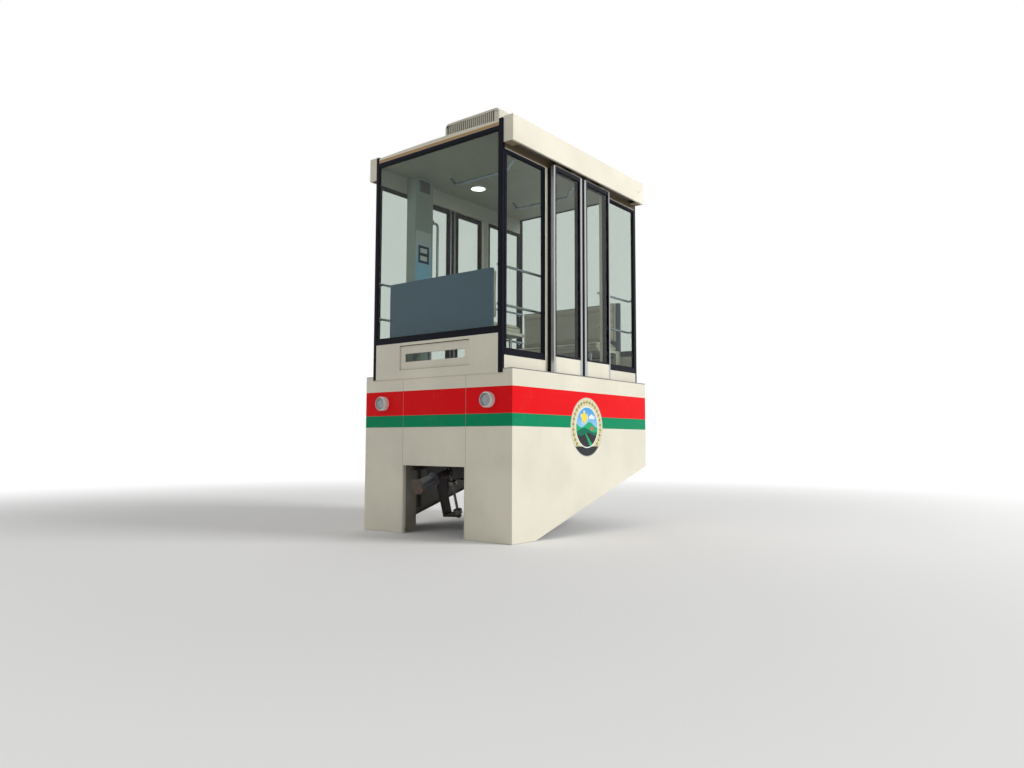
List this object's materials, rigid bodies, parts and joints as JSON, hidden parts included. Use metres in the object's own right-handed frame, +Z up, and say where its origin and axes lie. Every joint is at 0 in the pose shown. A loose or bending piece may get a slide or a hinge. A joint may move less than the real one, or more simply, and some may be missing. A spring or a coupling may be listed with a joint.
{
  "type": "inclined monorail car",
  "caption": "Small glazed car for a sloping single rail: level cabin with sliding double doors on both sides, slanted skirt, roof cooler, and running gear that grips a box girder.",
  "frame": {"origin": "on the girder's running face, on the centre plane, midway between the two running wheels", "axes": "+X uphill and level, +Y to the left of a passenger who faces uphill, +Z up"},
  "size_m": [2.5064, 1.7, 3.787],
  "materials": {
    "body_paint": "gloss",
    "lining_paint": "satin",
    "frame_black": "satin",
    "glass": "clear",
    "door_metal": "satin",
    "track_steel": "satin",
    "sill_metal": "satin",
    "floor_covering": "matt",
    "frame_steel": "satin",
    "wheel_rubber": "matt",
    "roller_steel": "satin",
    "pinion_steel": "greased",
    "drive_paint": "satin",
    "collector_plastic": "matt",
    "buffer_paint": "satin",
    "bench_laminate": "satin",
    "cushion_leather": "satin",
    "rail_chrome": "polished",
    "lamp_white": "gloss",
    "lens": "ribbed",
    "dark_plastic": "matt",
    "cooler_paint": "satin"
  },
  "bodies": {
    "car": {"arch_linings": "lining_paint", "back_cushion_downhill": "cushion_leather", "back_cushion_uphill": "cushion_leather", "bench_downhill": "bench_laminate", "bench_uphill": "bench_laminate", "buffer_downhill": "buffer_paint", "buffer_uphill": "buffer_paint", "ceiling_lamps": "lamp_white", "current_collector": "collector_plastic", "door_cover_left": "body_paint", "door_cover_right": "body_paint", "door_sills": "sill_metal", "door_tracks": "track_steel", "drive_unit": "drive_paint", "end_panel_downhill": "body_paint", "end_panel_uphill": "body_paint", "floor_deck": "floor_covering", "floor_frame": "frame_steel", "grab_rails": "rail_chrome", "guard_rails": "rail_chrome", "lamp_bezels": "lamp_white", "lamp_lenses": "lens", "roof_cooler": "cooler_paint", "roof_panel": "body_paint", "running_frame": "frame_steel", "seat_cushion_downhill": "cushion_leather", "seat_cushion_uphill": "cushion_leather", "side_wall_left": "body_paint", "side_wall_right": "body_paint", "side_window_frames": "frame_black", "side_window_glass": "glass", "skirt_end_downhill": "body_paint", "skirt_end_uphill": "body_paint", "skirt_side_left": "body_paint", "skirt_side_right": "body_paint", "slot_windows": "glass", "wall_cabinet": "bench_laminate", "wall_speaker": "dark_plastic", "wheel_carrier_downhill": "frame_steel", "wheel_carrier_uphill": "frame_steel", "windscreen_frame_downhill": "frame_black", "windscreen_frame_uphill": "frame_black", "windscreens": "glass"},
    "leaf_right_downhill": {"door_leaf_right_downhill": "door_metal", "door_glass_right_downhill": "glass"},
    "guide_right_downhill": {"guide_spindle_right_downhill": "roller_steel"},
    "leaf_right_uphill": {"door_leaf_right_uphill": "door_metal", "door_glass_right_uphill": "glass"},
    "guide_right_uphill": {"guide_spindle_right_uphill": "roller_steel"},
    "leaf_left_downhill": {"door_leaf_left_downhill": "door_metal", "door_glass_left_downhill": "glass"},
    "guide_left_downhill": {"guide_spindle_left_downhill": "roller_steel"},
    "leaf_left_uphill": {"door_leaf_left_uphill": "door_metal", "door_glass_left_uphill": "glass"},
    "guide_left_uphill": {"guide_spindle_left_uphill": "roller_steel"},
    "wheel_downhill": {"running_wheel_downhill": "wheel_rubber"},
    "wheel_uphill": {"running_wheel_uphill": "wheel_rubber"},
    "pinion": {"drive_pinion": "pinion_steel"}
  },
  "joints": [
    {"name": "slide_right_downhill", "type": "slide", "parent": "car", "child": "leaf_right_downhill", "axis": [-1, 0, 0], "range_m": [0, 0.42]},
    {"name": "slide_right_uphill", "type": "slide", "parent": "car", "child": "leaf_right_uphill", "axis": [1, 0, 0], "range_m": [0, 0.42]},
    {"name": "slide_left_downhill", "type": "slide", "parent": "car", "child": "leaf_left_downhill", "axis": [-1, 0, 0], "range_m": [0, 0.42]},
    {"name": "slide_left_uphill", "type": "slide", "parent": "car", "child": "leaf_left_uphill", "axis": [1, 0, 0], "range_m": [0, 0.42]},
    {"name": "roll_downhill", "type": "hinge", "parent": "car", "child": "wheel_downhill", "pos_m": [-0.74423, 0, -0.12931], "axis": [0, 1, 0], "continuous": true},
    {"name": "guide_turn_right_downhill", "type": "hinge", "parent": "car", "child": "guide_right_downhill", "pos_m": [-0.68963, -0.115, -0.31129], "axis": [-0.2873, 0, 0.9578], "continuous": true},
    {"name": "guide_turn_left_downhill", "type": "hinge", "parent": "car", "child": "guide_left_downhill", "pos_m": [-0.68963, 0.115, -0.31129], "axis": [-0.2873, 0, 0.9578], "continuous": true},
    {"name": "roll_uphill", "type": "hinge", "parent": "car", "child": "wheel_uphill", "pos_m": [0.69251, 0, 0.30172], "axis": [0, 1, 0], "continuous": true},
    {"name": "guide_turn_right_uphill", "type": "hinge", "parent": "car", "child": "guide_right_uphill", "pos_m": [0.74711, -0.115, 0.11973], "axis": [-0.2873, 0, 0.9578], "continuous": true},
    {"name": "guide_turn_left_uphill", "type": "hinge", "parent": "car", "child": "guide_left_uphill", "pos_m": [0.74711, 0.115, 0.11973], "axis": [-0.2873, 0, 0.9578], "continuous": true},
    {"name": "pinion_turn", "type": "hinge", "parent": "car", "child": "pinion", "pos_m": [-0.25718, -0.151, -0.18678], "axis": [-0.2873, 0, 0.9578], "continuous": true}
  ],
  "couplings": [
    {"joint": "slide_right_uphill", "follows": "slide_right_downhill", "ratio": 1},
    {"joint": "slide_left_uphill", "follows": "slide_left_downhill", "ratio": 1}
  ]
}
